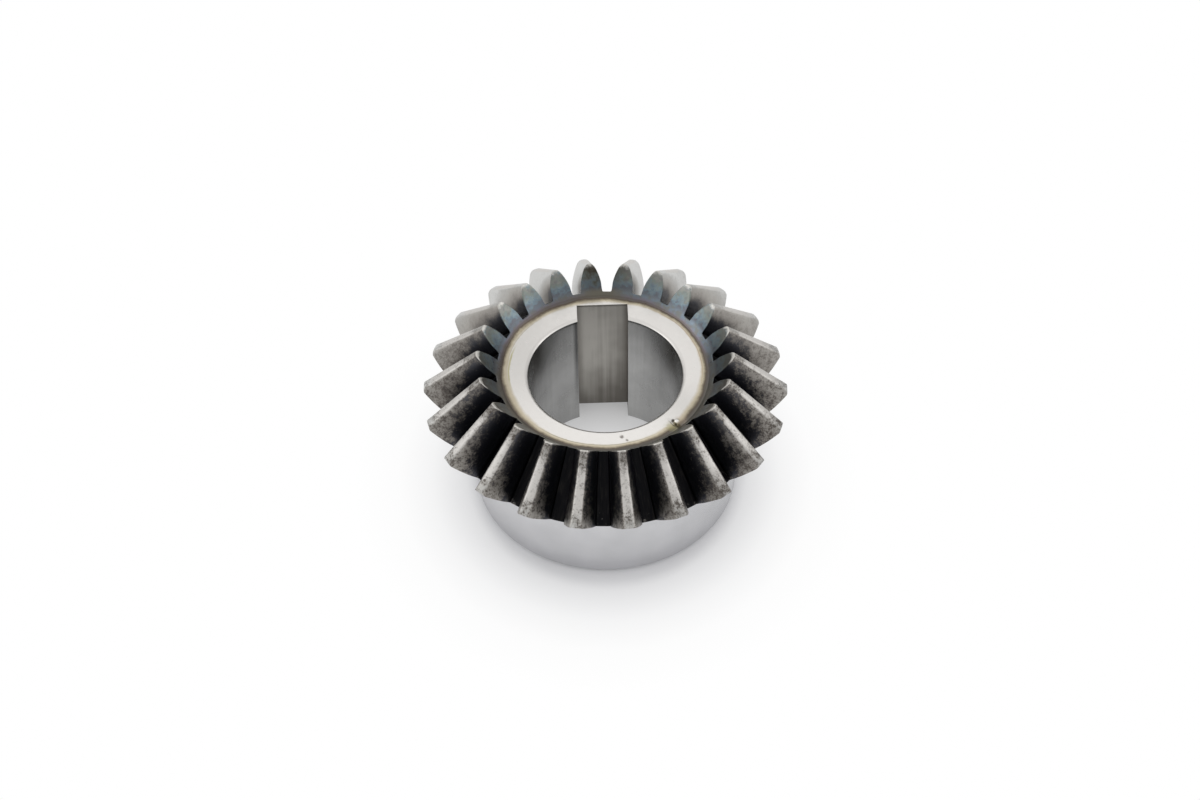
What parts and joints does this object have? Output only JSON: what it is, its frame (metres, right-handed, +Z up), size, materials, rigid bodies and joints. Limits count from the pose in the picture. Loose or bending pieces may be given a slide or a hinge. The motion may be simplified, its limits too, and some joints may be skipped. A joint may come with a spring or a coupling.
{
  "type": "bevel gear",
  "caption": "One-piece straight bevel gear of steel with a plain round hub below the teeth, a through bore with one keyway and a machined front ring.",
  "frame": {"origin": "centre of the hub's back face, which the gear stands on", "axes": "+Z up the bore axis, from the hub's back face towards the teeth; the keyway is on the +Y side of the bore"},
  "size_m": [0.0706, 0.0706, 0.0345],
  "materials": {
    "gear_steel": "turned and cut steel: bright faced ring and hub, black oxide in the tooth spaces, worn bare on the tooth tips"
  },
  "bodies": {
    "root": {"bevel_gear": "gear_steel"}
  },
  "joints": []
}
